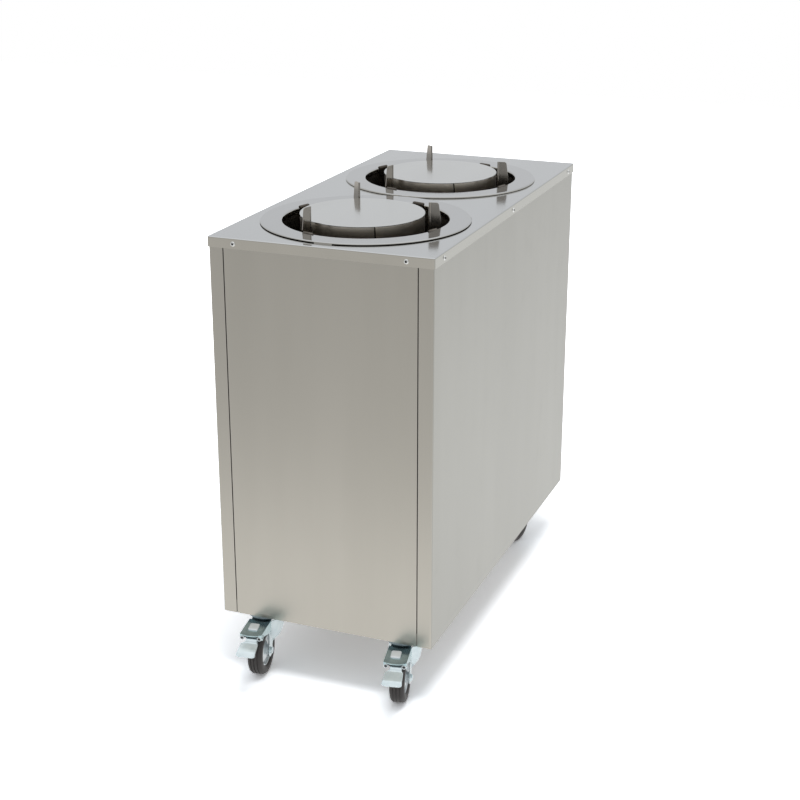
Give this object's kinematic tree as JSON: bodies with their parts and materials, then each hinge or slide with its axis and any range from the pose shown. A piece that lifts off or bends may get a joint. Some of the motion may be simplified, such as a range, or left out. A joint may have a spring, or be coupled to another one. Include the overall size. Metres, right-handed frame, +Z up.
{
  "type": "plate dispenser cart",
  "caption": "Free-standing stainless plate dispenser cart: a closed cabinet on swivel casters with spring-raised round platforms in ringed wells and upright plate guides.",
  "frame": {"origin": "on the floor, under the middle of the cart's overall length and width", "axes": "+X along the length from the braked casters to the other end, +Y to the left across the width, +Z up"},
  "size_m": [1.0115, 0.4558, 0.945],
  "materials": {
    "panel_steel": "satin brushed stainless sheet",
    "well_steel": "fine brushed stainless, nearly polished",
    "inner_steel": "plain mill finish stainless",
    "zinc_plated_steel": "bright zinc plating",
    "screw_steel": "plain stainless screws",
    "spring_steel": "drawn spring wire",
    "tyre_rubber": "smooth dark rubber",
    "glide_nylon": "natural nylon"
  },
  "bodies": {
    "cabinet": {"lid_panel": "panel_steel", "side_panel_left": "panel_steel", "side_panel_right": "panel_steel", "end_panel_near": "panel_steel", "end_panel_far": "panel_steel", "base_pan": "inner_steel", "caster_beam_near": "inner_steel", "caster_beam_far": "inner_steel", "lid_screws": "screw_steel", "caster_bolts": "zinc_plated_steel", "caster_plate_near_left": "zinc_plated_steel", "caster_plate_near_right": "zinc_plated_steel", "caster_plate_far_left": "zinc_plated_steel", "caster_plate_far_right": "zinc_plated_steel", "well_ring_near": "well_steel", "well_tube_near": "inner_steel", "well_floor_near": "inner_steel", "spring_channels_near": "inner_steel", "guide_brackets_near": "inner_steel", "well_ring_far": "well_steel", "well_tube_far": "inner_steel", "well_floor_far": "inner_steel", "spring_channels_far": "inner_steel", "guide_brackets_far": "inner_steel"},
    "platform_near": {"platform_disc_near": "well_steel", "platform_skirt_near": "well_steel", "carriage_near": "inner_steel", "glides_near": "glide_nylon", "springs_near": "spring_steel"},
    "platform_far": {"platform_disc_far": "well_steel", "platform_skirt_far": "well_steel", "carriage_far": "inner_steel", "glides_far": "glide_nylon", "springs_far": "spring_steel"},
    "guide_body_near_1": {"guide_near_1": "well_steel"},
    "guide_body_near_2": {"guide_near_2": "well_steel"},
    "guide_body_near_3": {"guide_near_3": "well_steel"},
    "guide_body_far_1": {"guide_far_1": "well_steel"},
    "guide_body_far_2": {"guide_far_2": "well_steel"},
    "guide_body_far_3": {"guide_far_3": "well_steel"},
    "swivel_near_left": {"fork_near_left": "zinc_plated_steel", "axle_near_left": "zinc_plated_steel", "brake_cover_near_left": "zinc_plated_steel"},
    "wheel_near_left": {"tyre_near_left": "tyre_rubber", "rim_near_left": "zinc_plated_steel"},
    "pedal_near_left": {"brake_pedal_near_left": "zinc_plated_steel"},
    "swivel_near_right": {"fork_near_right": "zinc_plated_steel", "axle_near_right": "zinc_plated_steel", "brake_cover_near_right": "zinc_plated_steel"},
    "wheel_near_right": {"tyre_near_right": "tyre_rubber", "rim_near_right": "zinc_plated_steel"},
    "pedal_near_right": {"brake_pedal_near_right": "zinc_plated_steel"},
    "swivel_far_left": {"fork_far_left": "zinc_plated_steel", "axle_far_left": "zinc_plated_steel"},
    "wheel_far_left": {"tyre_far_left": "tyre_rubber", "rim_far_left": "zinc_plated_steel"},
    "swivel_far_right": {"fork_far_right": "zinc_plated_steel", "axle_far_right": "zinc_plated_steel"},
    "wheel_far_right": {"tyre_far_right": "tyre_rubber", "rim_far_right": "zinc_plated_steel"}
  },
  "joints": [
    {"name": "platform_slide_near", "type": "slide", "parent": "cabinet", "child": "platform_near", "axis": [0, 0, 1], "range_m": [-0.52, 0], "stiffness_N_per_m": 680, "springref_m": 0.08, "deforming": ["springs_near"]},
    {"name": "platform_slide_far", "type": "slide", "parent": "cabinet", "child": "platform_far", "axis": [0, 0, 1], "range_m": [-0.52, 0], "stiffness_N_per_m": 680, "springref_m": 0.08, "deforming": ["springs_far"]},
    {"name": "guide_swing_near_1", "type": "hinge", "parent": "cabinet", "child": "guide_body_near_1", "pos_m": [-0.0489, 0.08062, 0.9], "axis": [0, 0, 1], "range_deg": [-20, 40]},
    {"name": "guide_swing_near_2", "type": "hinge", "parent": "cabinet", "child": "guide_body_near_2", "pos_m": [-0.31413, 0.07251, 0.9], "axis": [0, 0, 1], "range_deg": [-10, 50]},
    {"name": "guide_swing_near_3", "type": "hinge", "parent": "cabinet", "child": "guide_body_near_3", "pos_m": [-0.1745, -0.15313, 0.9], "axis": [0, 0, 1], "range_deg": [-10, 50]},
    {"name": "guide_swing_far_1", "type": "hinge", "parent": "cabinet", "child": "guide_body_far_1", "pos_m": [0.3681, 0.08062, 0.9], "axis": [0, 0, 1], "range_deg": [-20, 40]},
    {"name": "guide_swing_far_2", "type": "hinge", "parent": "cabinet", "child": "guide_body_far_2", "pos_m": [0.10287, 0.07251, 0.9], "axis": [0, 0, 1], "range_deg": [-10, 50]},
    {"name": "guide_swing_far_3", "type": "hinge", "parent": "cabinet", "child": "guide_body_far_3", "pos_m": [0.2425, -0.15313, 0.9], "axis": [0, 0, 1], "range_deg": [-10, 50]},
    {"name": "caster_swivel_near_left", "type": "hinge", "parent": "cabinet", "child": "swivel_near_left", "pos_m": [-0.36018, 0.15, 0.125], "axis": [0, 0, 1], "continuous": true},
    {"name": "wheel_spin_near_left", "type": "hinge", "parent": "swivel_near_left", "child": "wheel_near_left", "pos_m": [-0.39972, 0.14395, 0.05], "axis": [-0.1513, 0.9885, 0], "continuous": true},
    {"name": "brake_pedal_lift_near_left", "type": "hinge", "parent": "swivel_near_left", "child": "pedal_near_left", "pos_m": [-0.45606, 0.13533, 0.108], "axis": [-0.1513, 0.9885, 0], "range_deg": [0, 14]},
    {"name": "caster_swivel_near_right", "type": "hinge", "parent": "cabinet", "child": "swivel_near_right", "pos_m": [-0.36018, -0.15, 0.125], "axis": [0, 0, 1], "continuous": true},
    {"name": "wheel_spin_near_right", "type": "hinge", "parent": "swivel_near_right", "child": "wheel_near_right", "pos_m": [-0.39933, -0.15818, 0.05], "axis": [-0.2045, 0.9789, 0], "continuous": true},
    {"name": "brake_pedal_lift_near_right", "type": "hinge", "parent": "swivel_near_right", "child": "pedal_near_right", "pos_m": [-0.45513, -0.16984, 0.108], "axis": [-0.2045, 0.9789, 0], "range_deg": [0, 14]},
    {"name": "caster_swivel_far_left", "type": "hinge", "parent": "cabinet", "child": "swivel_far_left", "pos_m": [0.42882, 0.15, 0.125], "axis": [0, 0, 1], "continuous": true},
    {"name": "wheel_spin_far_left", "type": "hinge", "parent": "swivel_far_left", "child": "wheel_far_left", "pos_m": [0.38892, 0.15279, 0.05], "axis": [0.0698, 0.9976, 0], "continuous": true},
    {"name": "caster_swivel_far_right", "type": "hinge", "parent": "cabinet", "child": "swivel_far_right", "pos_m": [0.42882, -0.15, 0.125], "axis": [0, 0, 1], "continuous": true},
    {"name": "wheel_spin_far_right", "type": "hinge", "parent": "swivel_far_right", "child": "wheel_far_right", "pos_m": [0.38943, -0.14305, 0.05], "axis": [0.1736, 0.9848, 0], "continuous": true}
  ]
}
